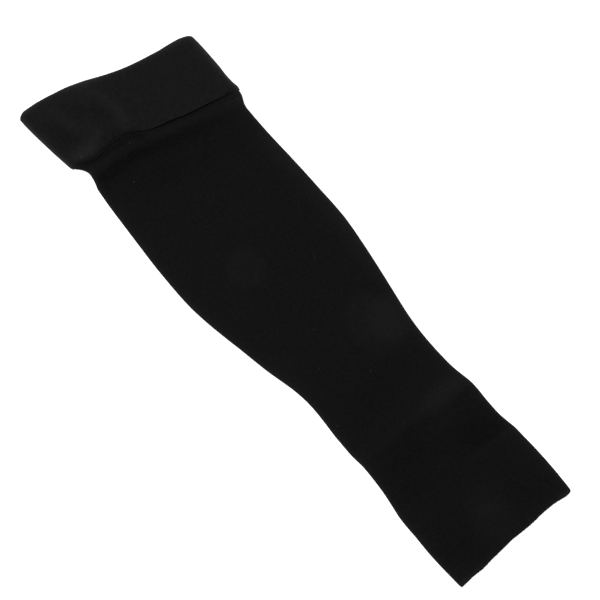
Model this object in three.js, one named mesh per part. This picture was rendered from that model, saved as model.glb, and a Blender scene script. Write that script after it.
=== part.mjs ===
// Arm compression sleeve: a knitted tube with a turned-down grip band, lying flat on its underside.
// Millimetres. +Y runs from the wrist edge to the upper arm, +X across the flat sleeve, +Z up.

import * as THREE from 'three';
import { LoftGeometry } from 'three/addons/geometries/LoftGeometry.js';
import { mergeVertices } from 'three/addons/utils/BufferGeometryUtils.js';

// Lengths along the sleeve
const sleeveLength = 400; // wrist edge to the band's top fold, on the centre line
const bandDepth = 46; // top fold to the band's free lip
const seamDepth = 8; // how far the band's inner leg reaches down from the top fold
const slantRise = 17; // how far the upper end leans up at the left side and down at the right
const flareLength = 8; // stretch of the band, from its lip, that stands off the tube
const liftLength = 36; // stretch below the lip where the underside rises onto the band

// Widths and heights of the flat tube
const halfWidth = 56.7; // centre line to the outer face at the fullest place
const sideHollow = 1.35; // inner radius of the folded sides
const puffHeight = 3.3; // how far the upper layer domes above the folded sides

// Walls and clearance
const knitWall = 1.1; // the tube's knit
const bandWall = 1.3; // the band's heavier knit
const plyGap = 0.3; // clearance between layers that touch

// Edges and corners
const bandCorner = 4.5; // rounding of the top fold at the two sides
const wristCorner = 1.6; // rounding of the wrist edge at the two sides
const lipFlare = 0.8; // how far the lip stands off the tube on the upper side
const edgeRound = 0.3; // how far a cut edge bulges out between its two faces

// Steps of the faceted surface
const upperSteps = 24; // across the upper layer
const underSteps = 6; // across the underside
const sideSteps = 5; // round each folded side
const turnSteps = 6; // over the band's top fold
const bandSteps = 6; // from the lip up to the tube's top edge
const legSteps = 2; // along the band's inner leg

// Steps up the tube below the lip. to is the share of bodyLength where each stretch ends.
const bodySteps = [
	{ to: 0.32, steps: 17 },
	{ to: 0.86, steps: 15 },
	{ to: 1.00, steps: 9 },
];

const slantStart = 0.62; // share of bodyLength above which the tube starts to lean
const cornerFade = 4; // corner radii along the sleeve over which a rounded corner fades out

const bodyLength = sleeveLength - bandDepth;
const turnInner = plyGap / 2;
const turnOuter = turnInner + bandWall;
const turnStart = sleeveLength - turnOuter;
const legEnd = sleeveLength - seamDepth;
const tubeTop = legEnd - plyGap;

// Outer half widths of the tube below the lip.
// along is a share of bodyLength, left and right are shares of halfWidth.
const bodySections = [
	{ along: 0.000, left: 0.848, right: 0.828 },
	{ along: 0.055, left: 0.857, right: 0.842 },
	{ along: 0.125, left: 0.848, right: 0.835 },
	{ along: 0.160, left: 0.838, right: 0.820 },
	{ along: 0.190, left: 0.812, right: 0.799 },
	{ along: 0.225, left: 0.781, right: 0.800 },
	{ along: 0.260, left: 0.763, right: 0.810 },
	{ along: 0.285, left: 0.757, right: 0.786 },
	{ along: 0.305, left: 0.770, right: 0.765 },
	{ along: 0.340, left: 0.766, right: 0.752 },
	{ along: 0.405, left: 0.739, right: 0.763 },
	{ along: 0.440, left: 0.739, right: 0.793 },
	{ along: 0.475, left: 0.770, right: 0.830 },
	{ along: 0.520, left: 0.831, right: 0.880 },
	{ along: 0.565, left: 0.879, right: 0.927 },
	{ along: 0.610, left: 0.927, right: 0.966 },
	{ along: 0.655, left: 0.971, right: 0.990 },
	{ along: 0.700, left: 1.000, right: 0.995 },
	{ along: 0.790, left: 0.990, right: 0.995 },
	{ along: 0.835, left: 0.960, right: 0.990 },
	{ along: 0.880, left: 0.935, right: 0.984 },
	{ along: 0.925, left: 0.902, right: 0.986 },
	{ along: 0.950, left: 0.858, right: 0.992 },
	{ along: 0.965, left: 0.846, right: 1.006 },
	{ along: 0.983, left: 0.896, right: 1.044 },
];

// Outer half widths of the tube inside the band.
// along is a share of bandDepth above the lip, left and right are shares of halfWidth.
const bandSections = [
	{ along: 0.00, left: 0.936, right: 1.050 },
	{ along: 0.15, left: 0.948, right: 1.042 },
	{ along: 0.35, left: 0.964, right: 1.046 },
	{ along: 0.75, left: 0.986, right: 1.052 },
	{ along: 1.00, left: 0.990, right: 1.046 },
];

// How open the flat tube stands. along is a share of sleeveLength,
// side is a share of sideHollow and puff is a share of puffHeight.
const heightSections = [
	{ along: 0.00, side: 0.70, puff: 0.90 },
	{ along: 0.10, side: 0.85, puff: 0.95 },
	{ along: 0.25, side: 1.00, puff: 1.00 },
	{ along: 0.80, side: 1.00, puff: 1.00 },
	{ along: 0.90, side: 1.25, puff: 0.92 },
	{ along: 1.00, side: 1.35, puff: 0.90 },
];

// The edges' wavy lines. across is a share of the half width, from the left side to the right.
// hem is how far the wrist edge hangs down, as a share of wristCorner,
// lean is how far the top fold stands above its middle, as a share of slantRise,
// and depth is how far the lip is below the top fold, as a share of bandDepth.
const edgePoints = [
	{ across: -1.00, hem: 0.2, lean: 1.00, depth: 1.040 },
	{ across: -0.70, hem: 0.3, lean: 0.86, depth: 1.120 },
	{ across: -0.42, hem: 0.2, lean: 0.58, depth: 1.050 },
	{ across: -0.17, hem: 0.0, lean: 0.25, depth: 0.965 },
	{ across: -0.06, hem: 0.0, lean: 0.09, depth: 1.010 },
	{ across: 0.25, hem: 0.1, lean: -0.34, depth: 0.990 },
	{ across: 0.60, hem: 0.3, lean: -0.67, depth: 0.960 },
	{ across: 0.85, hem: 0.8, lean: -0.88, depth: 0.970 },
	{ across: 1.00, hem: 1.5, lean: -0.99, depth: 1.050 },
];

// The underside is up on the band from the lip's lowest point
const lipDrop = ( Math.max( ...edgePoints.map( ( row ) => row.depth ) ) - 1 ) * bandDepth;
const liftEnd = bodyLength - lipDrop - 2 * edgeRound;

// Ridges and hollows of the upper layer, each a soft line between two points.
// x1, x2 and spread are shares of halfWidth and rise is a share of puffHeight, less than 0 for a hollow.
// y1 and y2 are shares of bodyLength up from the wrist edge.
const bodyFolds = [
	{ x1: -0.15, y1: 0.060, x2: 0.05, y2: 0.070, spread: 0.26, rise: 0.24 }, // bump by the wrist
	{ x1: -0.85, y1: 0.174, x2: 0.80, y2: 0.153, spread: 0.12, rise: 0.26 }, // lower ridge
	{ x1: -0.80, y1: 0.258, x2: 0.75, y2: 0.238, spread: 0.13, rise: -0.16 }, // hollow under the upper ridge
	{ x1: -0.80, y1: 0.298, x2: 0.80, y2: 0.275, spread: 0.12, rise: 0.34 }, // upper ridge
	{ x1: 0.30, y1: 0.300, x2: 0.60, y2: 0.296, spread: 0.24, rise: 0.12 }, // its fuller right end
	{ x1: 0.40, y1: 0.420, x2: 0.50, y2: 0.490, spread: 0.30, rise: 0.24 }, // bump by the elbow
	{ x1: -0.32, y1: 0.685, x2: -0.18, y2: 0.695, spread: 0.22, rise: 0.18 }, // bump on the upper arm
	{ x1: -0.70, y1: 0.943, x2: 0.80, y2: 0.948, spread: 0.14, rise: -0.30 }, // valley under the lip
];

// The same for the band, with y1 and y2 as shares of bandDepth up from the lip.
const bandFolds = [
	{ x1: -0.22, y1: 0.85, x2: -0.11, y2: 0.12, spread: 0.09, rise: 0.30 }, // crease down to the lip
	{ x1: -0.42, y1: 0.17, x2: -0.80, y2: 0.06, spread: 0.11, rise: 0.26 }, // ridge along the lip
	{ x1: -0.36, y1: 0.46, x2: -0.30, y2: 0.38, spread: 0.12, rise: -0.22 }, // hollow beside the crease
	{ x1: -0.60, y1: 0.58, x2: -0.50, y2: 0.48, spread: 0.12, rise: -0.16 }, // hollow in the left half
	{ x1: -0.76, y1: 0.34, x2: -0.68, y2: 0.26, spread: 0.10, rise: -0.18 }, // hollow by the left side
];

// A smooth line through the rows of a table
function lineThrough( places, values, columns ) {

	return new THREE.CubicInterpolant( places, values, columns );

}

const widthPlaces = [
	...bodySections.map( ( row ) => row.along * bodyLength ),
	...bandSections.map( ( row ) => bodyLength + row.along * bandDepth ),
];
const widthValues = [ ...bodySections, ...bandSections ].flatMap( ( row ) => [ row.left, row.right ] );
const widthLine = lineThrough( widthPlaces, widthValues, 2 );

const heightPlaces = heightSections.map( ( row ) => row.along * sleeveLength );
const heightValues = heightSections.flatMap( ( row ) => [ row.side, row.puff ] );
const heightLine = lineThrough( heightPlaces, heightValues, 2 );

const edgePlaces = edgePoints.map( ( row ) => row.across );
const edgeValues = edgePoints.flatMap( ( row ) => [ row.hem, row.lean, row.depth ] );
const edgeLine = lineThrough( edgePlaces, edgeValues, 3 );

// The same folds with their lengths in millimetres
function foldLines( folds, start, length ) {

	return folds.map( ( fold ) => ( {
		line: new THREE.Line3(
			new THREE.Vector3( fold.x1 * halfWidth, start + fold.y1 * length, 0 ),
			new THREE.Vector3( fold.x2 * halfWidth, start + fold.y2 * length, 0 ),
		),
		spread: fold.spread * halfWidth,
		rise: fold.rise * puffHeight,
	} ) );

}

const folds = [
	...foldLines( bodyFolds, 0, bodyLength ),
	...foldLines( bandFolds, bodyLength, bandDepth ),
];

// Height that the ridges and hollows add to the upper layer
function foldHeight( x, along ) {

	const point = new THREE.Vector3( x, along, 0 );
	const nearest = new THREE.Vector3();
	return folds.reduce( ( height, fold ) => {

		fold.line.closestPointToPoint( point, true, nearest );
		const away = nearest.distanceTo( point ) / fold.spread;
		return height + fold.rise * Math.exp( - away * away );

	}, 0 );

}

// How far the rows by the lip slide along the sleeve to follow its wavy line
function lipSlide( depth, along ) {

	const nearLip = Math.max( 0, 1 - Math.abs( along - bodyLength ) / bandDepth );
	return ( 1 - depth ) * bandDepth * nearLip;

}

// How far a row is pulled in at a rounded corner, for a point this far inside the side
function cornerDrop( radius, inside ) {

	const share = THREE.MathUtils.clamp( 1 - inside / radius, 0, 0.98 );
	return radius * ( 1 - Math.sqrt( 1 - share * share ) );

}

// One point of the flat tube's section, at a distance outward from the middle of its knit wall.
// A column says where the point lies round the section: its place across and which way is out.
function sleevePoint( column, along, outward ) {

	const { across, outX, outZ } = column;
	const [ hem, lean, depth ] = edgeLine.evaluate( across );
	const place = along + lipSlide( depth, along );
	const [ leftShare, rightShare ] = widthLine.evaluate( place );
	const reach = ( across < 0 ? leftShare : rightShare ) * halfWidth;
	const [ sideShare, puffShare ] = heightLine.evaluate( place );
	const onBand = THREE.MathUtils.smoothstep( place, liftEnd - liftLength, liftEnd );
	const radius = sideShare * sideHollow + knitWall / 2 + onBand * ( bandWall - knitWall );
	const run = reach - knitWall / 2 - radius;
	const underside = onBand * ( bandWall + plyGap ) + knitWall / 2;

	// The upper layer is nearly flat in the middle and runs level into the folded sides
	const upper = ( 1 + outZ ) / 2;
	const roundness = 1 - across ** 4;
	const puff = puffShare * puffHeight * roundness ** 2;
	const slope = - 8 * puffShare * puffHeight * roundness * across ** 3 / run;
	const normal = new THREE.Vector2( outX - upper * slope, outZ ).normalize();
	const rise = foldHeight( across * reach, place ) * roundness;

	const x = across * run + outX * radius;
	const z = underside + radius * ( 1 + outZ ) + upper * ( puff + rise );

	const slanted = THREE.MathUtils.smoothstep( place, slantStart * bodyLength, bodyLength );
	const nearTop = THREE.MathUtils.smoothstep( place, turnStart - cornerFade * bandCorner, turnStart );
	const nearWrist = 1 - THREE.MathUtils.smoothstep( place, 0, cornerFade * wristCorner );
	const inside = reach - Math.abs( x );
	const top = slanted * slantRise * lean - nearTop * cornerDrop( bandCorner, inside );
	const bottom = nearWrist * ( cornerDrop( wristCorner, inside ) - hem * wristCorner );

	return new THREE.Vector3( x + normal.x * outward, place + top + bottom, z + normal.y * outward );

}

// Columns round one folded side, from the underside up
function sideColumns( across ) {

	return Array.from( { length: sideSteps + 1 }, ( _, step ) => {

		const angle = Math.PI * ( step / sideSteps - 0.5 );
		return { across, outX: across * Math.cos( angle ), outZ: Math.sin( angle ) };

	} );

}

// Columns across the underside, from right to left
function underColumns() {

	return Array.from( { length: underSteps - 1 }, ( _, step ) => {

		return { across: 1 - 2 * ( step + 1 ) / underSteps, outX: 0, outZ: - 1 };

	} );

}

// Columns across the upper layer, from left to right and closer by the sides
function upperColumns() {

	return Array.from( { length: upperSteps - 1 }, ( _, step ) => {

		const even = 2 * ( step + 1 ) / upperSteps - 1;
		return { across: ( even + Math.sin( even * Math.PI / 2 ) ) / 2, outX: 0, outZ: 1 };

	} );

}

const columns = [
	...underColumns(),
	...sideColumns( - 1 ),
	...upperColumns(),
	...sideColumns( 1 ).reverse(),
];

// Places from one length to another in equal steps
function evenPlaces( from, to, steps ) {

	return Array.from( { length: steps + 1 }, ( _, step ) => from + ( to - from ) * step / steps );

}

// A closed wall, lofted through rings of points that go once round its profile.
// Each row of the profile has a place along the sleeve and a distance outward.
function wallMesh( name, profile, material ) {

	const rings = profile.map( ( row ) => {

		return columns.map( ( column ) => {

			const flare = ( row.flare ?? 0 ) * ( 1 + column.outZ ) / 2;
			return sleevePoint( column, row.along, row.outward + flare );

		} );

	} );
	const loft = new LoftGeometry( [ ...rings, rings[ 0 ] ] );
	const skin = new THREE.BufferGeometry();
	skin.setAttribute( 'position', loft.getAttribute( 'position' ) );
	skin.setIndex( loft.getIndex() );
	const mesh = new THREE.Mesh( mergeVertices( skin ), material );
	mesh.name = name;
	return mesh;

}

// Places of the rings that the tube and the band share beside the lip and above it
const bandPlaces = evenPlaces( bodyLength, tubeTop, bandSteps );
const legPlaces = evenPlaces( legEnd, turnStart, legSteps );

function bodyPlaces() {

	return bodySteps.flatMap( ( row, index ) => {

		const from = index === 0 ? 0 : bodySteps[ index - 1 ].to;
		return evenPlaces( from * bodyLength, row.to * bodyLength, row.steps ).slice( 0, - 1 );

	} );

}

function knitMaterial() {

	return new THREE.MeshStandardMaterial( { color: 0x141414, roughness: 0.92, metalness: 0 } );

}

function bandMaterial() {

	return new THREE.MeshStandardMaterial( { color: 0x18181a, roughness: 0.88, metalness: 0 } );

}

// The tube, from the wrist edge up to where it meets the band's inner leg
function armTube() {

	const places = [ ...bodyPlaces(), ...bandPlaces ];
	const outer = places.map( ( along ) => ( { along, outward: knitWall / 2 } ) );
	const inner = places.map( ( along ) => ( { along, outward: - knitWall / 2 } ) ).reverse();
	const wristEdge = { along: - edgeRound, outward: 0 };
	return wallMesh( 'arm_tube', [ ...outer, ...inner, wristEdge ], knitMaterial() );

}

// Rows over the top fold, at a radius round the middle of the gap between the band's flap and leg
function turnRows( radius, from, to ) {

	return evenPlaces( from, to, turnSteps ).slice( 1, - 1 ).map( ( angle ) => ( {
		along: turnStart + radius * Math.cos( angle ),
		outward: knitWall / 2 + turnInner + radius * Math.sin( angle ),
	} ) );

}

// The band: its inner leg goes on where the tube ends, turns over and hangs outside the tube
function turnedBand() {

	const up = Math.PI / 2;
	const flapInner = knitWall / 2 + plyGap;
	const legOuter = knitWall / 2;
	const flapPlaces = [ ...bandPlaces.slice( 0, - 1 ), ...legPlaces ];
	const flareAt = ( along ) => {

		const near = Math.max( 0, 1 - ( along - bodyLength ) / flareLength );
		return lipFlare * near ** 2;

	};

	const flapRow = ( outward ) => ( along ) => ( { along, outward, flare: flareAt( along ) } );
	const legRow = ( outward ) => ( along ) => ( { along, outward } );
	const lip = { along: bodyLength - edgeRound, outward: flapInner + bandWall / 2, flare: lipFlare };
	const profile = [
		...flapPlaces.map( flapRow( flapInner + bandWall ) ),
		...turnRows( turnOuter, up, - up ),
		...legPlaces.map( legRow( legOuter - bandWall ) ).reverse(),
		...legPlaces.map( legRow( legOuter ) ),
		...turnRows( turnInner, - up, up ),
		...flapPlaces.map( flapRow( flapInner ) ).reverse(),
		lip,
	];
	return wallMesh( 'turned_band', profile, bandMaterial() );

}

// The whole sleeve, with its origin under the middle of the box that holds it
function armSleeve() {

	const sleeve = new THREE.Group();
	sleeve.name = 'arm_sleeve';
	sleeve.add( armTube(), turnedBand() );
	const box = new THREE.Box3().setFromObject( sleeve, true );
	const centre = box.getCenter( new THREE.Vector3() );
	sleeve.position.set( - centre.x, - centre.y, - box.min.z );
	return sleeve;

}

export default armSleeve();
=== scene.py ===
import math
import random

import bpy
import numpy as np
from mathutils import Matrix, Vector, noise


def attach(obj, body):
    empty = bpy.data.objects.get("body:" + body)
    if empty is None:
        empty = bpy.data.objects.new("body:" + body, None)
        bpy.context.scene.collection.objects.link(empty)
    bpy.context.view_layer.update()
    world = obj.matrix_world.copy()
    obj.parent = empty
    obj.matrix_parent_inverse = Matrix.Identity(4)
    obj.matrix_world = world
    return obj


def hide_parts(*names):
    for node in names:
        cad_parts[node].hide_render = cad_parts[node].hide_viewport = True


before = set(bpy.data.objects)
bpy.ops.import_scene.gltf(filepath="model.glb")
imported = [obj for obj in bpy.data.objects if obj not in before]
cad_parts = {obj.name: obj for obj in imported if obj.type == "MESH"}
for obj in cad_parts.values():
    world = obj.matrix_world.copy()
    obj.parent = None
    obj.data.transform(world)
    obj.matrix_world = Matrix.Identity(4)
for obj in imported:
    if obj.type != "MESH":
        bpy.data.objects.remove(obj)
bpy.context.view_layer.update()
print("frame loaded:", sorted(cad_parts))

# Arm compression sleeve, seen from straight above as it lies flat on a white table.
# +Y runs from the wrist edge to the upper arm, +X across the sleeve, +Z up. Tables are in millimetres.

cameraValues = {
    "lookAt": (-3.12, -0.30),  # where the middle of the picture falls
    "turn": -42.0,  # degrees that the picture is turned from the sleeve's own axes
    "lens": 200.0,  # a long lens
    "sensor": 36.0,
    "widthSeen": 387.4,  # across the picture, at the sleeve
    "sleeveHeight": 5.0,  # above the table
    "clip": (0.1, 20.0),  # metres
}

lightValues = {
    "roomStrength": 0.15,  # plain room
    "keyDistance": 5.5,  # metres
    "keyFrom": 92.0,  # degrees from +X seen from above, so beyond the upper arm
    "keyHeight": 50.0,  # degrees above the table
    "keySize": 2.2,  # metres, a large soft box
    "keyPower": 143.0,  # watts
}

tableValues = {
    "size": 20.0,  # metres, so wide that its edge stays out of low views
    "colour": "#F4F4F4",
    "roughness": 0.9,
    "glow": 1.0,  # lit from below, as a product table is
}


def linearColour(hexColour):  # sRGB hex to the linear colour that a shader wants
    channels = [int(hexColour[i:i + 2], 16) / 255 for i in (1, 3, 5)]
    linear = [c / 12.92 if c <= 0.04045 else ((c + 0.055) / 1.055) ** 2.4 for c in channels]
    return (*linear, 1.0)


# Each link is another node's socket or a plain value
def addNode(tree, kind, settings=None, links=None):
    node = tree.nodes.new(kind)
    for name, value in (settings or {}).items():
        setattr(node, name, value)
    for name, value in (links or {}).items():
        if isinstance(value, bpy.types.NodeSocket):
            tree.links.new(value, node.inputs[name])
        else:
            node.inputs[name].default_value = value
    return node


def pickOnly(piece):
    bpy.ops.object.select_all(action="DESELECT")
    piece.select_set(True)
    bpy.context.view_layer.objects.active = piece


def applyModifier(piece, kind, **settings):
    pickOnly(piece)
    modifier = piece.modifiers.new(kind.lower(), kind)
    for name, value in settings.items():
        setattr(modifier, name, value)
    bpy.ops.object.modifier_apply(modifier=modifier.name)


def pointsOf(piece):  # millimetres
    points = np.empty(len(piece.data.vertices) * 3, np.float32)
    piece.data.vertices.foreach_get("co", points)
    return points.reshape(-1, 3).astype(float) * 1000


def setPoints(piece, points):
    piece.data.vertices.foreach_set("co", (points / 1000).astype(np.float32).ravel())
    piece.data.update()


def normalsOf(piece):
    normals = np.empty(len(piece.data.vertices) * 3, np.float32)
    piece.data.vertex_normals.foreach_get("vector", normals)
    return normals.reshape(-1, 3)


def smoothStep(share):
    share = np.clip(share, 0, 1)
    return share * share * (3 - 2 * share)


# Camera, room and table

def placeCamera(values):
    reach = values["widthSeen"] / 1000 * values["lens"] / values["sensor"]
    height = reach + values["sleeveHeight"] / 1000
    x, y = (v / 1000 for v in values["lookAt"])
    bpy.ops.object.camera_add(location=(x, y, height), rotation=(0, 0, math.radians(values["turn"])))
    camera = bpy.context.object
    camera.data.lens = values["lens"]
    camera.data.sensor_width = values["sensor"]
    camera.data.clip_start, camera.data.clip_end = values["clip"]
    bpy.context.scene.camera = camera


def lightRoom(values):
    world = bpy.data.worlds.new("whiteRoom")
    bpy.context.scene.world = world
    world.use_nodes = True
    background = world.node_tree.nodes["Background"]
    background.inputs["Color"].default_value = (1, 1, 1, 1)
    background.inputs["Strength"].default_value = values["roomStrength"]
    turn, rise = math.radians(values["keyFrom"]), math.radians(values["keyHeight"])
    way = Vector((math.cos(turn) * math.cos(rise), math.sin(turn) * math.cos(rise), math.sin(rise)))
    aim = way.to_track_quat("Z", "Y").to_euler()
    bpy.ops.object.light_add(type="AREA", location=way * values["keyDistance"], rotation=aim)
    key = bpy.context.object
    key.data.size = values["keySize"]
    key.data.energy = values["keyPower"]
    bpy.context.scene.view_settings.view_transform = "Standard"


def layTable(values):
    bpy.ops.object.select_all(action="DESELECT")
    bpy.ops.mesh.primitive_plane_add(size=values["size"])
    table = bpy.context.object
    table.name = "whiteTable"
    # cast opal sheet with a matt face, lit from below: an even white with no texture
    material = bpy.data.materials.new("opalAcrylic")
    material.use_nodes = True
    shader = material.node_tree.nodes["Principled BSDF"]
    shader.inputs["Base Color"].default_value = linearColour(values["colour"])
    shader.inputs["Roughness"].default_value = values["roughness"]
    shader.inputs["Emission Color"].default_value = (1, 1, 1, 1)
    shader.inputs["Emission Strength"].default_value = values["glow"]
    table.data.materials.append(material)


placeCamera(cameraValues)
lightRoom(lightValues)
layTable(tableValues)
print("camera, light and table placed")

# The sleeve's lie, shared by all of its pieces

lieValues = {
    # the upper end leans: how far a place at x lies further up than the middle, at its fullest
    "leanX": [-57, -40, -24, -10, -3, 14, 34, 48, 57],
    "leanY": [17.0, 14.6, 9.9, 4.3, 1.5, -5.8, -11.4, -15.0, -16.8],
    "leanFrom": 12.0,
    "leanFull": 147.0,
    # height of the middle of the folded sides, along the sleeve
    "middleY": [-207, -105, 105, 123, 141, 200],
    "middleZ": [2.05, 2.45, 2.45, 3.55, 4.60, 4.75],
    "layerBlend": 1.6,  # height over which the underside gives way to the upper layer
    "sideFade": 7.0,  # ridges run out flat this far from the outline
    "straightTo": 30.0,  # the wales run straight this far out, and then on round the folded sides
    # how far the folded sides bulge out beyond the subdivided solid, along the sleeve
    "leftY": [-208, -178, -164, -148, -134, -88, -82, -52, -40, -22, 2, 20,
              44, 68, 104, 134, 140, 146, 152, 158, 161, 166, 174, 200],
    "growLeft": [0.2, 0.6, 0.3, 0.6, 0.25, 0.4, 0.6, 0, 0, 0.5, 0.2, 0.4,
                 0.8, 0.5, 0.45, 0.25, 0.8, 0.2, -0.25, 0.6, 0.1, 0.2, 0.55, 0.6],
    "rightY": [-208, -178, -162, -154, -148, -142, -134, -82, -52, -40, -22,
               2, 20, 44, 104, 126, 131, 134, 140, 146, 200],
    "growRight": [0.2, 0.35, 0.35, 0.6, 0.2, 0.1, 0.25, 0.3, 0.15, 0.3, 0.35,
                  0.4, 0.7, 0.25, 0.4, 0.2, 0.4, 0.15, 0.15, 0.6, 0.4],
    # how far the two ends wander up or down, across the sleeve
    "wristZone": (-196, 10),  # the wrist edge's wandering starts here and is full so much further on
    "wristX": [-50, -46, -40, -30, -24, -12, -4, 4, 12, 22, 30, 36, 40, 42, 45],
    "wristY": [-0.9, -0.6, -0.2, -0.55, 0, 0.15, 0.45, 0, -0.25, 0.4, 0.3, -0.15, -0.5, -0.2, 1.0],
    "foldZone": (180, 9),  # and so does the top fold's
    "foldX": [-56, -52, -46, -40, -32, -24, -12, 0, 24, 36, 44, 50, 54, 57, 59],
    "foldY": [-0.2, -0.3, -0.45, -0.8, -0.75, -0.2, 0, -0.35, -0.4, -0.2, 0.5, 0.6, 0.2, 0, -0.4],
    # slight unevenness of cloth that lies by its own weight
    "waveSize": 16.0,
    "waveHeight": 0.10,
    "waveSlice": 7.0,  # which slice of the noise
}

# Ridges and hollows of the cloth, finer than those of the frame. Each runs through points x, y
# with its rise there, and spreads so far to the left and to the right of its way.
foldLines = [
    # the upper ridge by the wrist, fuller at the right
    {"through": [(-44, -106, 0.35), (-20, -107.5, 0.22), (5, -110, 0.35), (25, -112.5, 0.55),
                 (42, -113.5, 0.6)], "spread": (6.0, 3.8)},
    # the lower one, only a step
    {"through": [(-46, -148, 0.25), (-25, -149.5, 0.12), (0, -151, 0.05), (18, -152, 0.15), (42, -156, 0.3)],
     "spread": (2.2, 6.0)},
    # pinched crease on the band, down to the kink in its lip, and a weaker one beside it
    {"through": [(-15, 193, 0.4), (-10.5, 181, 0.6), (-8.3, 170, 0.7), (-8.5, 161, 0.7), (-9.5, 156, 0.5)],
     "spread": (3.0, 3.6)},
    {"through": [(-41, 196, 0.2), (-38.5, 186, 0.35), (-36.5, 176, 0.25)], "spread": (3.5, 3.5)},
    # broad roll along the left part of the lip
    {"through": [(-54, 168, 0.5), (-46, 164.5, 0.9), (-38, 162, 0.9), (-29, 164, 0.6), (-22, 165.5, 0.2)],
     "spread": (4.0, 4.5)},
    # hollows of the band's left half
    {"through": [(-19.5, 181, -0.2), (-20, 174, -0.5), (-19, 167, -0.4)], "spread": (4.5, 4.5)},
    {"through": [(-48, 188, -0.3), (-45.5, 178, -0.55), (-42, 172.5, -0.5)], "spread": (4.0, 4.0)},
    {"through": [(-31, 190, -0.3), (-28, 182, -0.35)], "spread": (4.0, 4.0)},
    {"through": [(-30, 160.5, -0.3), (-18, 160.5, -0.3)], "spread": (3.0, 3.0)},
]


def leanAt(points):
    lean = np.interp(points[:, 0], lieValues["leanX"], lieValues["leanY"])
    run = lieValues["leanFull"] - lieValues["leanFrom"]
    return lean * smoothStep((points[:, 1] - lieValues["leanFrom"]) / run)


def sideMiddle(points):
    return np.interp(points[:, 1] - leanAt(points), lieValues["middleY"], lieValues["middleZ"])


def traceOutline(nodes, step):  # the outline seen from above, up the left side and down the right
    starts, ends = [], []
    for node in nodes:
        points = pointsOf(node)
        edges = np.array([edge.vertices[:] for edge in node.data.edges])
        starts.append(points[edges[:, 0]])
        ends.append(points[edges[:, 1]])
    starts, ends = np.concatenate(starts), np.concatenate(ends)
    left, right = [], []
    for level in np.arange(starts[:, 1].min() + 0.3, starts[:, 1].max() - 0.2, step):
        crossing = (starts[:, 1] - level) * (ends[:, 1] - level) < 0
        a, b = starts[crossing], ends[crossing]
        x = a[:, 0] + (level - a[:, 1]) / (b[:, 1] - a[:, 1]) * (b[:, 0] - a[:, 0])
        left.append((x.min(), level))
        right.append((x.max(), level))
    return np.array(left), np.array(right)


outlineLeft, outlineRight = traceOutline(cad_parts.values(), 2.0)


def fromOutline(points):  # millimetres inside the outline, seen from above
    corners = np.concatenate([outlineLeft, outlineRight[::-1]])
    nearest = np.full(len(points), 1e9)
    for start, end in zip(corners, np.roll(corners, -1, axis=0)):
        way = end - start
        share = np.clip((points[:, :2] - start) @ way / (way @ way), 0, 1)
        away = points[:, :2] - start - share[:, None] * way
        nearest = np.minimum(nearest, (away ** 2).sum(1))
    return np.sqrt(nearest)


def lineField(points, lines):  # the sum of soft lines, each through its points
    total = np.zeros(len(points))
    for line in lines:
        nearest = np.full(len(points), 1e9)
        amount, spread = np.zeros(len(points)), np.ones(len(points))
        knots = np.array(line["through"], float)
        for start, end in zip(knots, knots[1:]):
            way = (end - start)[:2]
            offset = points[:, :2] - start[:2]
            share = np.clip(offset @ way / (way @ way), 0, 1)
            away = offset - share[:, None] * way
            distance = np.linalg.norm(away, axis=1)
            closer = distance < nearest
            leftOf = way[0] * away[:, 1] > way[1] * away[:, 0]
            nearest[closer] = distance[closer]
            amount[closer] = (start[2] + share * (end[2] - start[2]))[closer]
            spread[closer] = np.where(leftOf, *line["spread"])[closer]
        total += amount * np.exp(-(nearest / spread) ** 2)
    return total


def upperLayer(points):  # 1 on the upper layer, 0 on the underside
    return smoothStep((points[:, 2] - sideMiddle(points)) / lieValues["layerBlend"])


def upperShare(points):  # the same, and 0 at the sides
    return upperLayer(points) * smoothStep(fromOutline(points) / lieValues["sideFade"])


def softWaves(points):
    size, level = lieValues["waveSize"], lieValues["waveSlice"]
    waves = [noise.noise(Vector((x, y, level)) / size) for x, y in points[:, :2]]
    return np.array(waves) * lieValues["waveHeight"]


def addRows(piece, zones):  # more rings of faces round the outside, where folds are sharp
    column, reach, facingUp = -1.97, 1.5, 0.5  # edges by the middle line, on the outside, start the rings
    pickOnly(piece)
    bpy.ops.object.mode_set(mode="EDIT")
    bpy.ops.mesh.select_mode(type="EDGE")
    for low, high, cuts in zones:
        bpy.ops.mesh.select_all(action="DESELECT")
        bpy.ops.object.mode_set(mode="OBJECT")
        points, up = pointsOf(piece), normalsOf(piece)[:, 2]
        along = points[:, 1] - leanAt(points)
        above = points[:, 2] > sideMiddle(points)
        for edge in piece.data.edges:
            a, b = edge.vertices
            middle = abs(points[a, 0] - column) < reach and abs(points[b, 0] - column) < reach
            outside = above[a] and above[b] and up[a] > facingUp and up[b] > facingUp
            if middle and outside and low < (along[a] + along[b]) / 2 < high:
                edge.select = True
        bpy.ops.object.mode_set(mode="EDIT")
        bpy.ops.mesh.loop_multi_select(ring=True)
        bpy.ops.mesh.subdivide(number_cuts=cuts)
    bpy.ops.mesh.select_mode(type="VERT")
    bpy.ops.object.mode_set(mode="OBJECT")


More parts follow.
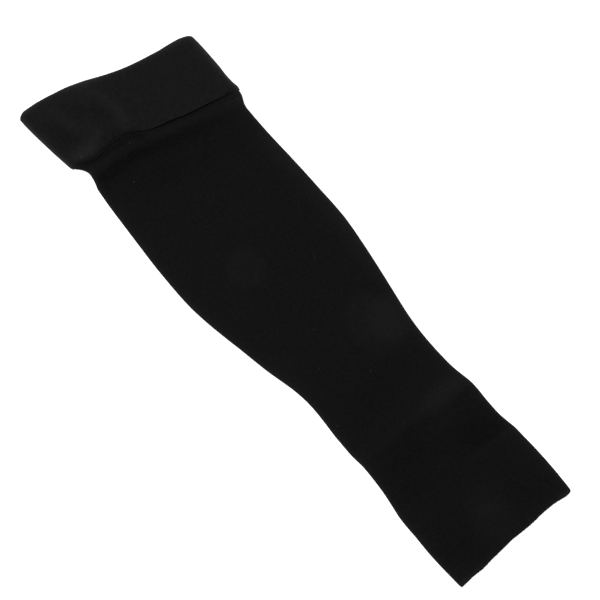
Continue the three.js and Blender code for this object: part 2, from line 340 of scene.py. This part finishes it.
def copyOfNode(nodeName, pieceName, levels, zones):  # a merged, subdivided copy of the frame's solid
    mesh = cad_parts[nodeName].data.copy()
    piece = bpy.data.objects.new(pieceName, mesh)
    bpy.context.scene.collection.objects.link(piece)
    mesh.materials.clear()
    pickOnly(piece)
    bpy.ops.mesh.customdata_custom_splitnormals_clear()
    bpy.ops.object.mode_set(mode="EDIT")
    bpy.ops.mesh.select_all(action="SELECT")
    bpy.ops.mesh.remove_doubles(threshold=0.00001)
    bpy.ops.mesh.tris_convert_to_quads(face_threshold=math.pi, shape_threshold=math.pi,
                                       topology_influence=2.0)
    bpy.ops.object.mode_set(mode="OBJECT")
    left = sum(len(face.vertices) == 3 for face in mesh.polygons)
    print(pieceName, "quads:", len(mesh.polygons) - left, "triangles left:", left)
    addRows(piece, zones)
    applyModifier(piece, "SUBSURF", levels=levels, render_levels=levels)
    bpy.ops.object.shade_smooth()
    return piece


def layFolds(piece):
    points = pointsOf(piece)
    share = upperShare(points)
    points[:, 2] += share * (lineField(points, foldLines) + softWaves(points))
    x, y = points[:, 0].copy(), points[:, 1].copy()
    left = np.interp(y, outlineLeft[:, 1], outlineLeft[:, 0])
    right = np.interp(y, outlineRight[:, 1], outlineRight[:, 0])
    across = np.clip((2 * x - left - right) / (right - left), -1, 1)
    growLeft = np.interp(y, lieValues["leftY"], lieValues["growLeft"])
    growRight = np.interp(y, lieValues["rightY"], lieValues["growRight"])
    points[:, 0] += np.where(across < 0, growLeft, growRight) * across ** 3
    start, over = lieValues["wristZone"]
    points[:, 1] += np.interp(x, lieValues["wristX"], lieValues["wristY"]) * smoothStep((start - y) / over)
    along = y - leanAt(points)
    start, over = lieValues["foldZone"]
    points[:, 1] += np.interp(x, lieValues["foldX"], lieValues["foldY"]) * smoothStep((along - start) / over)
    setPoints(piece, points)


# Each point's place on the knit, and how much painted light or shade it gets
def layKnitPlace(piece, paintedLightLines, paintedLightSpots, rimHighlights, extraTone=0):
    points = pointsOf(piece)
    x, y, z = points.T
    around = x - np.clip(x / lieValues["straightTo"], -1, 1) * (z - sideMiddle(points))
    along = y - leanAt(points)
    place = piece.data.attributes.new("knitPlace", "FLOAT_VECTOR", "POINT")
    place.data.foreach_set("vector", np.stack([around, along, z], 1).astype(np.float32).ravel())
    tone = lineField(points, paintedLightLines) + extraTone
    for spot in paintedLightSpots:
        across, up = (x - spot["at"][0]) / spot["size"][0], (y - spot["at"][1]) / spot["size"][1]
        away = np.sqrt(across ** 2 + up ** 2)
        tone += spot["tone"] * (1 - smoothStep((away - 1 + spot["edge"]) / (2 * spot["edge"])))
    tone *= upperLayer(points)
    for rimHighlight in rimHighlights:  # painted highlight along the folded edges, where they turn away from the light, evenly over the outermost millimetre
        tone += rimHighlight["tone"] * np.exp(-np.maximum(fromOutline(points), 1.0) / rimHighlight["wide"])
    paintedLightLayer = piece.data.attributes.new("toneWithPaintedLight", "FLOAT", "POINT")
    paintedLightLayer.data.foreach_set("value", tone.astype(np.float32))


# Evenly spaced points round an open edge that faces the wrist, and its length. zone is where it lies along the
# sleeve, facing how squarely its faces look that way.
def endLine(piece, zone, facing, spacing):
    steps, crestDepth = 150, 0.25
    lowest, highest = zone
    points, normals = pointsOf(piece), normalsOf(piece)
    points = points[(points[:, 1] > lowest) & (points[:, 1] < highest) & (normals[:, 1] < facing)]
    centre = (points.max(0) + points.min(0)) / 2
    span = points.max(0) - points.min(0)
    angle = np.arctan2((points[:, 2] - centre[2]) / span[2], (points[:, 0] - centre[0]) / span[0])
    bins = np.floor((angle + math.pi) / (2 * math.pi) * steps).astype(int)
    rows = []
    for step in range(steps):
        here = points[bins == step]
        if len(here):
            crest = here[here[:, 1] < here[:, 1].min() + crestDepth]
            rows.append(crest.mean(0))
    ring = np.array(rows + rows[:1])
    ring[1:-1] = (ring[:-2] + 2 * ring[1:-1] + ring[2:]) / 4
    lengths = np.concatenate([[0], np.cumsum(np.linalg.norm(np.diff(ring, axis=0), axis=1))])
    count = round(lengths[-1] / spacing)
    places = np.linspace(0, lengths[-1], count, endpoint=False)
    return np.stack([np.interp(places, lengths, ring[:, axis]) for axis in range(3)], 1), lengths[-1]


def shapeLip(piece, values):  # the lip wanders, thins out and settles on the tube; its edge gets a painted highlight
    ring = endLine(piece, values["lipZone"], values["lipFacing"], values["lipSpacing"])[0]
    upper = ring[ring[:, 2] > sideMiddle(ring)]
    upper = upper[np.argsort(upper[:, 0])]
    points, normals = pointsOf(piece), normalsOf(piece)
    upward = smoothStep(normals[:, 2] / 2 + 0.5)
    x = points[:, 0].copy()
    above = np.clip(points[:, 1] - np.interp(x, upper[:, 0], upper[:, 1]), 0, None)
    onTop = upperLayer(points)
    tables = [values[name] for name in ("shift", "settle", "thin", "wide", "lipHighlight")]
    shift, settle, thin, wide, lipHighlight = (np.interp(x, values["lipX"], table) for table in tables)
    corner = smoothStep((np.abs(x) - values["cornerFrom"]) / values["cornerOver"])
    outward = smoothStep(normals[:, 0] * np.sign(x)) * np.sign(x)
    points[:, 0] -= values["cornerThin"] * corner * outward * np.clip(1 - above / values["cornerDepth"], 0, 1)
    points[:, 1] += shift * np.maximum(onTop, corner) * (1 - smoothStep(above / values["shiftOver"]))
    points[:, 2] -= settle * onTop * np.clip(1 - above / values["settleOver"], 0, 1) ** 2
    points[:, 2] -= thin * onTop * upward * np.clip(1 - above / wide, 0, 1) ** 1.5
    setPoints(piece, points)
    # painted highlight along the lip's edge
    return lipHighlight * onTop * np.exp(-((above - values["highlightAt"]) / values["highlightWide"]) ** 2)


# What both knits share. A pattern's cells or waves per millimetre, times 1000, are its scale in metres.
knitPatterns = {
    "bends": 0.11,  # the rows wander over about 9 mm
    "clouds": 0.52,  # the cloth is a little cloudy over about 2 mm
    "fibres": 1.4,  # really some hundredths of a millimetre, drawn at 0.7 so that they show
    "fibreHeight": 0.5,  # as a share of a loop's
    "loopLean": 1.6,  # how steeply a stitch's legs lean, in courses a wale
    "relief": 0.0003,  # metres
    "noiseFrom": 0.3,  # nearly all of a noise's values lie between these two
    "noiseTo": 0.7,
    "lintCells": 0.13,  # one speck of lint at most in each cell of about 8 mm
    "lintSize": 0.05,  # half across, as a share of the cell
    "nylonIOR": 1.53,
}


def knitMaterial(name, values):
    patterns = knitPatterns
    material = bpy.data.materials.new(name)
    material.use_nodes = True
    tree = material.node_tree
    tree.nodes.clear()
    place = addNode(tree, "ShaderNodeAttribute", {"attribute_name": "knitPlace"}).outputs["Vector"]
    tone = addNode(tree, "ShaderNodeAttribute", {"attribute_name": "toneWithPaintedLight"}).outputs["Fac"]
    inObject = addNode(tree, "ShaderNodeTexCoord").outputs["Object"]

    # the rows wander a little, as knit does once it has been stretched
    wander = addNode(tree, "ShaderNodeTexNoise", None,
                     {"Vector": inObject, "Scale": 1000 * patterns["bends"], "Detail": 2.0})
    centred = addNode(tree, "ShaderNodeVectorMath", {"operation": "SUBTRACT"},
                      {0: wander.outputs["Color"], 1: (0.5, 0.5, 0.5)})
    moved = addNode(tree, "ShaderNodeVectorMath", {"operation": "MULTIPLY_ADD"},
                    {0: centred.outputs[0], 1: (values["wander"],) * 3, 2: place})
    split = addNode(tree, "ShaderNodeSeparateXYZ", None, {0: moved.outputs[0]})

    # plain knit: two leaning legs in each wale, one stitch in each course
    wale = addNode(tree, "ShaderNodeMath", {"operation": "DIVIDE"}, {0: split.outputs["X"], 1: values["wale"]})
    peak = addNode(tree, "ShaderNodeMath", {"operation": "PINGPONG"}, {0: wale.outputs[0], 1: 0.5})
    course = addNode(tree, "ShaderNodeMath", {"operation": "DIVIDE"},
                     {0: split.outputs["Y"], 1: values["course"]})
    leaning = addNode(tree, "ShaderNodeMath", {"operation": "MULTIPLY_ADD"},
                      {0: peak.outputs[0], 1: patterns["loopLean"], 2: course.outputs[0]})
    stitchTurn = addNode(tree, "ShaderNodeMath", {"operation": "MULTIPLY"},
                         {0: leaning.outputs[0], 1: 2 * math.pi})
    stitchWave = addNode(tree, "ShaderNodeMath", {"operation": "SINE"}, {0: stitchTurn.outputs[0]})
    stitch = addNode(tree, "ShaderNodeMath", {"operation": "MULTIPLY_ADD"},
                     {0: stitchWave.outputs[0], 1: 0.5, 2: 0.5})
    legTurn = addNode(tree, "ShaderNodeMath", {"operation": "MULTIPLY"}, {0: wale.outputs[0], 1: 2 * math.pi})
    legWave = addNode(tree, "ShaderNodeMath", {"operation": "SINE"}, {0: legTurn.outputs[0]})
    leg = addNode(tree, "ShaderNodeMath", {"operation": "ABSOLUTE"}, {0: legWave.outputs[0]})
    loops = addNode(tree, "ShaderNodeMath", {"operation": "MULTIPLY"},
                    {0: leg.outputs[0], 1: stitch.outputs[0]})

    # fibres that stand off the yarn, and the cloth's slight cloudiness
    fuzz = addNode(tree, "ShaderNodeTexNoise", None,
                   {"Vector": inObject, "Scale": 1000 * patterns["fibres"], "Detail": 3.0})
    cloud = addNode(tree, "ShaderNodeTexNoise", None,
                    {"Vector": inObject, "Scale": 1000 * patterns["clouds"], "Detail": 2.0})
    height = addNode(tree, "ShaderNodeMath", {"operation": "MULTIPLY_ADD"},
                     {0: fuzz.outputs["Fac"], 1: patterns["fibreHeight"], 2: loops.outputs[0]})
    bump = addNode(tree, "ShaderNodeBump", None,
                   {"Height": height.outputs[0], "Strength": values["bump"], "Distance": patterns["relief"]})

    yarn = addNode(tree, "ShaderNodeMix", {"data_type": "RGBA"},
                   {"Factor": loops.outputs[0], "A": linearColour(values["gap"]),
                    "B": linearColour(values["yarn"])})
    noiseRange = {"From Min": patterns["noiseFrom"], "From Max": patterns["noiseTo"]}
    cloudTone = addNode(tree, "ShaderNodeMapRange", None,
                        {"Value": cloud.outputs["Fac"], **noiseRange,
                         "To Min": 1 - values["cloud"], "To Max": 1 + values["cloud"]})
    fuzzTone = addNode(tree, "ShaderNodeMapRange", None,
                       {"Value": fuzz.outputs["Fac"], **noiseRange,
                        "To Min": -values["fuzz"], "To Max": values["fuzz"]})
    uneven = addNode(tree, "ShaderNodeMath", {"operation": "ADD"},
                     {0: cloudTone.outputs[0], 1: fuzzTone.outputs[0]})
    # the knit's random cloudiness, plus the painted light and shade held by the points
    toneWithPaintedLight = addNode(tree, "ShaderNodeMath", {"operation": "ADD"}, {0: uneven.outputs[0], 1: tone})
    toned = addNode(tree, "ShaderNodeHueSaturation", None,
                    {"Value": toneWithPaintedLight.outputs[0], "Color": yarn.outputs["Result"]})

    # a few specks of lint
    cells = addNode(tree, "ShaderNodeTexVoronoi", None,
                    {"Vector": inObject, "Scale": 1000 * patterns["lintCells"]})
    near = addNode(tree, "ShaderNodeMath", {"operation": "LESS_THAN"},
                   {0: cells.outputs["Distance"], 1: patterns["lintSize"]})
    chance = addNode(tree, "ShaderNodeSeparateColor", None, {0: cells.outputs["Color"]})
    chosen = addNode(tree, "ShaderNodeMath", {"operation": "GREATER_THAN"},
                     {0: chance.outputs[0], 1: values["lintRare"]})
    speck = addNode(tree, "ShaderNodeMath", {"operation": "MULTIPLY"},
                    {0: near.outputs[0], 1: chosen.outputs[0]})
    colour = addNode(tree, "ShaderNodeMix", {"data_type": "RGBA"},
                     {"Factor": speck.outputs[0], "A": toned.outputs["Color"],
                      "B": linearColour(values["lint"])})

    shader = addNode(tree, "ShaderNodeBsdfPrincipled", None, {
        "Base Color": colour.outputs["Result"],
        "Roughness": values["roughness"],
        "IOR": patterns["nylonIOR"],
        "Specular IOR Level": values["specular"],
        "Sheen Weight": values["sheen"],
        "Sheen Roughness": values["sheenRoughness"],
        "Sheen Tint": (1, 1, 1, 1),
        "Normal": bump.outputs["Normal"],
    })
    addNode(tree, "ShaderNodeOutputMaterial", None, {"Surface": shader.outputs["BSDF"]})
    return material


# The tube

armKnitValues = {
    "levels": 2,
    "rows": [(-165, -95, 1), (105, 150, 1)],  # from, to and how many rings of faces more for each
    # how far the neck's sides bulge just below the lip's two corners
    "neckLeftY": [151, 153, 154, 156, 157, 158, 159, 160, 161, 162.5, 166, 169],
    "neckLeft": [0, -0.25, -0.4, -0.45, -0.2, 0, 0.85, 0.95, 0.65, 0.4, 0.1, 0],
    "neckRightY": [112, 115, 117, 119, 121, 123, 125, 126, 127.5, 129, 132],
    "neckRight": [0, -0.3, -0.15, 0, 0.35, 0.7, 0.85, 0.8, 0.45, 0.3, 0],
    "neckFrom": 40.0,  # outward from here the bulge grows
    "neckOver": 12.0,
    "flat": (0.24, 0.41),  # metres, the tube slit open and laid flat
    "area": 0.078,
}

# Nylon and elastane, knitted on a fine circular machine and dyed black: near black and matt, with a soft
# light rim where it turns away
fineKnitValues = {
    "yarn": "#292929",
    "gap": "#171717",
    "wale": 1.3,  # really about 0.8, drawn coarser so that it shows
    "course": 1.1,  # really about 0.7, drawn coarser so that it shows
    "wander": 0.8,
    "bump": 0.35,
    "cloud": 0.14,
    "fuzz": 0.04,
    "lint": "#4A4A4A",
    "lintRare": 0.8,
    "roughness": 0.9,
    "specular": 0.03,
    "sheen": 0.02,
    "sheenRoughness": 0.35,
}

# Painted light and shade: soft lines through x, y with the change of tone there
armPaintedLightLines = [
    # painted light on the slope under the lip, and painted shade in the valley below it with a crisper upper
    # edge
    {"through": [(-48, 152, 0.1), (-30, 149, 0.12), (-12, 145, 0.08), (0, 140, 0.14), (20, 133.5, 0.1),
                 (40, 127.5, 0.22), (54, 122, 0.26)], "spread": (2.8, 3.0)},
    {"through": [(-50, 144.5, -0.38), (-30, 142.5, -0.38), (-18, 140.5, -0.36), (-6, 136, -0.33),
                 (8, 131, -0.27), (22, 127, -0.24), (36, 121, -0.14), (48, 114, -0.03)],
     "spread": (3.6, 8.0)},
    {"through": [(-42, 131, -0.04), (-25, 125, -0.12), (-8, 120, -0.13), (6, 114, -0.1), (25, 109, -0.1),
                 (44, 104, -0.06)], "spread": (7.0, 13.0)},
    # the shade close under the lip's right part
    {"through": [(2, 143.4, 0), (8, 141.9, -0.26), (20, 137.4, -0.22), (36, 132.6, -0.16), (47, 129.3, 0)],
     "spread": (0.9, 1.4)},
    # by the kink the tube falls away from the lip, painted as shade; further left a second, weaker line of
    # painted shade runs below it
    {"through": [(-22, 153.5, -0.15), (-15, 151.5, -0.25), (-10, 148.5, -0.25), (-4, 145, -0.1),
                 (2, 142, 0)], "spread": (2.5, 3.0)},
    {"through": [(-41, 154.9, -0.08), (-36, 154.2, -0.24), (-30, 153, -0.25), (-24, 151.8, -0.17),
                 (-14, 149, 0)], "spread": (1.2, 1.5)},
    {"through": [(-54, 159.5, -0.35), (-48, 156.8, -0.22), (-44, 155, -0.12), (-38, 153.4, -0.04)],
     "spread": (1.4, 1.8)},
    # where the lip lies closest, painted light makes its shade weaker
    {"through": [(-11, 151.5, 0), (-8, 149.3, 0.25), (-4, 146.8, 0.35), (0, 145, 0.28), (3, 144.2, 0)],
     "spread": (1.0, 1.0)},
    # painted light on the upper ridge by the wrist, and painted shade on the flat between the two ridges
    {"through": [(-44, -104, 0.12), (-20, -105, 0.08), (0, -106, 0.06), (15, -107, 0.08), (42, -109, 0.08)],
     "spread": (5.0, 3.5)},
    {"through": [(-44, -121, -0.09), (0, -122, -0.13), (25, -128, -0.13), (42, -130, -0.11)],
     "spread": (7.0, 15.0)},
    {"through": [(-46, -143.5, -0.16), (-28, -144, -0.14), (0, -146, -0.08), (20, -147, -0.16),
                 (42, -149, -0.18)], "spread": (14.0, 2.6)},
    # painted highlight along the cut wrist edge, most at its right corner
    {"through": [(-49, -207.5, 0.3), (-20, -207.5, 0.2), (0, -207, 0.2), (30, -207.5, 0.3), (43, -209, 0.7)],
     "spread": (2.0, 2.0)},
    # painted sheen along the fuller right side of the upper arm, and a weaker one along the left side, which is
    # flatter
    {"through": [(52, 106, 0.05), (50.5, 96, 0.2), (50.5, 50, 0.2), (50, 18, 0.2), (46, -12, 0.17),
                 (43, -24, 0.04)], "spread": (7.0, 7.0)},
    {"through": [(-36, 74, 0.04), (-36, 15, 0.06), (-35, -4, 0.03)], "spread": (11.0, 11.0)},
]

# Round places of painted light and shade: size is half across and half along, edge how soft it ends, as a share
armPaintedLightSpots = [
    {"at": (-15.5, 38), "size": (12.8, 12.8), "edge": 0.2, "tone": 0.2},
    {"at": (22.5, -43), "size": (16, 21), "edge": 0.2, "tone": 0.22},
    {"at": (32, -48), "size": (14.5, 14.5), "edge": 0.35, "tone": 0.29},
    {"at": (-42, -30), "size": (9, 12), "edge": 0.8, "tone": 0.12},
    {"at": (2, -76), "size": (19, 12), "edge": 0.6, "tone": -0.06},
    {"at": (-28, -79), "size": (24, 20), "edge": 0.8, "tone": -0.07},
    {"at": (24, -107.5), "size": (17, 8.5), "edge": 0.45, "tone": 0.24},
    {"at": (14, -116), "size": (15, 8), "edge": 0.7, "tone": 0.14},
    {"at": (27, -141), "size": (13, 9), "edge": 0.6, "tone": -0.08},
    {"at": (-20, -120), "size": (16, 8), "edge": 0.6, "tone": -0.06},
    {"at": (-5, -190), "size": (12.5, 13), "edge": 0.55, "tone": 0.26},
    {"at": (-2, -176), "size": (12, 10), "edge": 0.6, "tone": 0.12},
    {"at": (-32, -187), "size": (20, 22), "edge": 0.8, "tone": -0.07},
    {"at": (25, -185), "size": (14, 15), "edge": 0.8, "tone": -0.07},
]
# painted highlight where the folded sides turn away from the light
armRimHighlights = [{"tone": 1.1, "wide": 1.0}, {"tone": 0.37, "wide": 5.0}]


def bulgeNeck(piece, values):
    points = pointsOf(piece)
    x, y = points[:, 0].copy(), points[:, 1]
    left = np.interp(y, values["neckLeftY"], values["neckLeft"])
    right = np.interp(y, values["neckRightY"], values["neckRight"])
    outer = smoothStep((np.abs(x) - values["neckFrom"]) / values["neckOver"])
    points[:, 0] += np.sign(x) * np.where(x < 0, left, right) * outer
    setPoints(piece, points)


armKnit = copyOfNode("arm_tube", "armKnit", armKnitValues["levels"], armKnitValues["rows"])
layFolds(armKnit)
bulgeNeck(armKnit, armKnitValues)
layKnitPlace(armKnit, armPaintedLightLines, armPaintedLightSpots, armRimHighlights)
armKnit.data.materials.append(knitMaterial("knittedNylonFine", fineKnitValues))
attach(armKnit, "root")
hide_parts("arm_tube")
print("arm knit laid:", len(armKnit.data.polygons), "faces")

# The turned-down band

gripBandValues = {
    "levels": 3,
    "rows": [(147, 153.5, 1)],
    "lipZone": (110, 170),  # where the lip's edge lies along the sleeve
    "lipFacing": -0.8,
    "lipSpacing": 0.8,
    # across the band: how far the lip lies further up, how far it settles, how much thinner its edge is,
    # over how far, and how strong the painted highlight on its edge is
    "lipX": [-55, -52, -48, -40, -35, -32, -28, -22, -16, -12, -4, 2,
             10, 16, 20, 26, 36, 45, 49, 52, 55, 57, 59],
    "shift": [-2, -1.3, -2, -1.7, -0.2, 0.5, 1.1, 1, 1.1, 0, -0.6, 0,
              0.1, -0.3, -1.3, -2, -2.6, -2.6, -1.8, -0.4, -0.1, -0.7, -1.2],
    "settle": [1.2, 1.2, 1.4, 1.3, 1.0, 0.9, 0.9, 1, 1.1, 1, 0.9, 0.8,
               0.8, 0.8, 0.8, 0.8, 0.85, 0.9, 1, 1, 1.1, 1.1, 1.1],
    "thin": [1.0, 1.1, 1.1, 1.1, 1.0, 0.95, 0.85, 0.8, 0.75, 0.7, 0.5, 0.3,
             0.3, 0.3, 0.3, 0.3, 0.3, 0.3, 0.5, 0.6, 0.7, 0.7, 0.7],
    "wide": [3, 3, 3, 3, 3, 3, 3, 3, 2.5, 2.2, 1.6, 1.3,
             1.3, 1.3, 1.3, 1.3, 1.3, 1.3, 1.6, 2, 2, 2, 2],
    "lipHighlight": [0, 0, 0, 0, 0.2, 0.4, 0.2, 0.3, 0.3, 0.3, 0.5, 0.7,
                0.75, 0.8, 0.8, 0.7, 0.9, 1.1, 0.7, 0.3, 0.3, 0.3, 0.3],
    "shiftOver": 14.0,  # up the band from the lip, each of these fades out
    "settleOver": 9.0,
    "highlightAt": 0.2,
    "highlightWide": 0.8,
    "cornerFrom": 52.0,  # outward from here its corners hang lower and thinner, right round the sides
    "cornerOver": 3.0,
    "cornerThin": 0.45,
    "cornerDepth": 2.5,
    "flat": (0.235, 0.057),  # metres, the band slit open and unfolded
    "area": 0.0134,
}

# The same yarns, knitted in a heavier gauge with more elastane: a shade lighter and a little smoother
bandKnitValues = {
    "yarn": "#2E2E2E",
    "gap": "#1E1E1E",
    "wale": 1.2,  # drawn coarser too
    "course": 1.0,
    "wander": 0.6,
    "bump": 0.35,
    "cloud": 0.15,
    "fuzz": 0.05,
    "lint": "#505050",
    "lintRare": 0.93,
    "roughness": 0.85,
    "specular": 0.04,
    "sheen": 0.03,
    "sheenRoughness": 0.35,
}

bandPaintedLightLines = [
    # painted highlights on the pinched crease and the weaker one beside it, and on the broad roll along the
    # lip's left part
    {"through": [(-14, 195, 0.14), (-10, 182, 0.2), (-7.8, 170, 0.26), (-8.2, 161, 0.32), (-9.5, 156, 0.1)],
     "spread": (2.8, 4.6)},
    {"through": [(-41, 197, 0.12), (-38.5, 188, 0.2), (-36.5, 177, 0.16)], "spread": (3.5, 3.5)},
    {"through": [(-54, 165, 0.12), (-46, 163, 0.58), (-38, 160.3, 0.6), (-30, 163.2, 0.28), (-23, 166, 0.08)],
     "spread": (4.6, 3.4)},
    # painted shade by the lip's left end
    {"through": [(-54, 161.5, -0.35), (-50, 160.2, -0.3), (-46, 158.4, -0.16), (-41, 156.6, -0.04)],
     "spread": (1.4, 1.5)},
    # painted highlight on the upper left, the top fold and the right side
    {"through": [(-50, 200, 0.05), (-30, 199, 0.09), (-20, 188, 0.13), (-17, 182, 0.05)], "spread": (6.0, 6.0)},
    {"through": [(-50, 208, 0.15), (-24, 202.5, 0.25), (-4, 193.5, 0.25), (20, 185, 0.25),
                 (50, 177.5, 0.25)], "spread": (2.4, 2.4)},
    {"through": [(57, 172, 0.12), (57, 150, 0.12), (56, 134, 0.08)], "spread": (6.0, 6.0)},
]
bandPaintedShadeSpots = [
    # painted shade in the band's hollows
    {"at": (-19.5, 172), "size": (6, 10), "edge": 0.6, "tone": -0.13},
    {"at": (-44.5, 174.5), "size": (8, 6), "edge": 0.6, "tone": -0.15},
    {"at": (-47, 184), "size": (5, 9), "edge": 0.7, "tone": -0.08},
    {"at": (-29, 186), "size": (5, 8), "edge": 0.7, "tone": -0.08},
    {"at": (-24, 160.5), "size": (9, 4), "edge": 0.6, "tone": -0.12},
]
# painted highlight where the top fold and the sides turn away from the light
bandRimHighlights = [{"tone": 1.9, "wide": 1.15}, {"tone": 0.15, "wide": 4.0}]

gripBand = copyOfNode("turned_band", "gripBand", gripBandValues["levels"], gripBandValues["rows"])
layFolds(gripBand)
lipHighlight = shapeLip(gripBand, gripBandValues)
layKnitPlace(gripBand, bandPaintedLightLines, bandPaintedShadeSpots, bandRimHighlights, lipHighlight)
gripBand.data.materials.append(knitMaterial("knittedNylonHeavy", bandKnitValues))
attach(gripBand, "root")
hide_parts("turned_band")
print("grip band laid:", len(gripBand.data.polygons), "faces")


# The loops of yarn that show along the cut wrist edge

wristLoopValues = {
    "spacing": 1.3,
    "reach": 0.45,  # from the middle of the yarn across the loop
    "yarn": 0.17,  # half the yarn's thickness
    "sink": 0.35,  # how deep the loops' middles lie inside the edge
    "stretch": 1.25,  # wider along the edge
    "uneven": 0.15,
    "tilt": 0.5,  # radians
    "seed": 4,
    "edgeZone": (-212, -203),  # where the cut edge lies along the sleeve
    "edgeFacing": -0.9,
}


def makeLoops(values):
    chance = random.Random(values["seed"])
    ring, length = endLine(armKnit, values["edgeZone"], values["edgeFacing"], values["spacing"])
    bpy.ops.object.select_all(action="DESELECT")
    bpy.ops.mesh.primitive_torus_add(major_segments=10, minor_segments=5,
                                     major_radius=values["reach"] / 1000, minor_radius=values["yarn"] / 1000)
    first = bpy.context.object
    first.name = "wristLoops"
    bpy.ops.object.mode_set(mode="EDIT")
    bpy.ops.transform.resize(value=(values["stretch"], 1.0, 1.0))
    bpy.ops.object.mode_set(mode="OBJECT")
    shape = first.data.copy()
    loops = []
    for index in range(len(ring)):
        before, here, after = ring[index - 1], ring[index], ring[(index + 1) % len(ring)]
        along = Vector(after - before).normalized()
        out = Vector((0, -1, 0))
        out = (out - along * out.dot(along)).normalized()
        side = along.cross(out)
        size = 1 + chance.uniform(-1, 1) * values["uneven"]
        tilt = Matrix.Rotation(chance.uniform(-values["tilt"], values["tilt"]), 4, "Y")
        turned = Matrix((along, out, side)).transposed().to_4x4() @ tilt
        middle = Matrix.Translation((Vector(here) - out * values["sink"]) / 1000)
        place = middle @ turned @ Matrix.Scale(size, 4)
        loop = first if index == 0 else bpy.data.objects.new("loop", shape.copy())
        if index:
            bpy.context.scene.collection.objects.link(loop)
        loop.data.transform(place)
        loops.append(loop)
    pickOnly(first)
    for loop in loops:
        loop.select_set(True)
    bpy.ops.object.join()
    bpy.ops.object.shade_smooth()
    print("wrist edge", round(length), "mm round,", len(ring), "loops")
    return first


wristLoops = makeLoops(wristLoopValues)
layKnitPlace(wristLoops, armPaintedLightLines, [], armRimHighlights)
wristLoops.data.materials.append(armKnit.data.materials[0])
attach(wristLoops, "root")

print("sleeve finished")
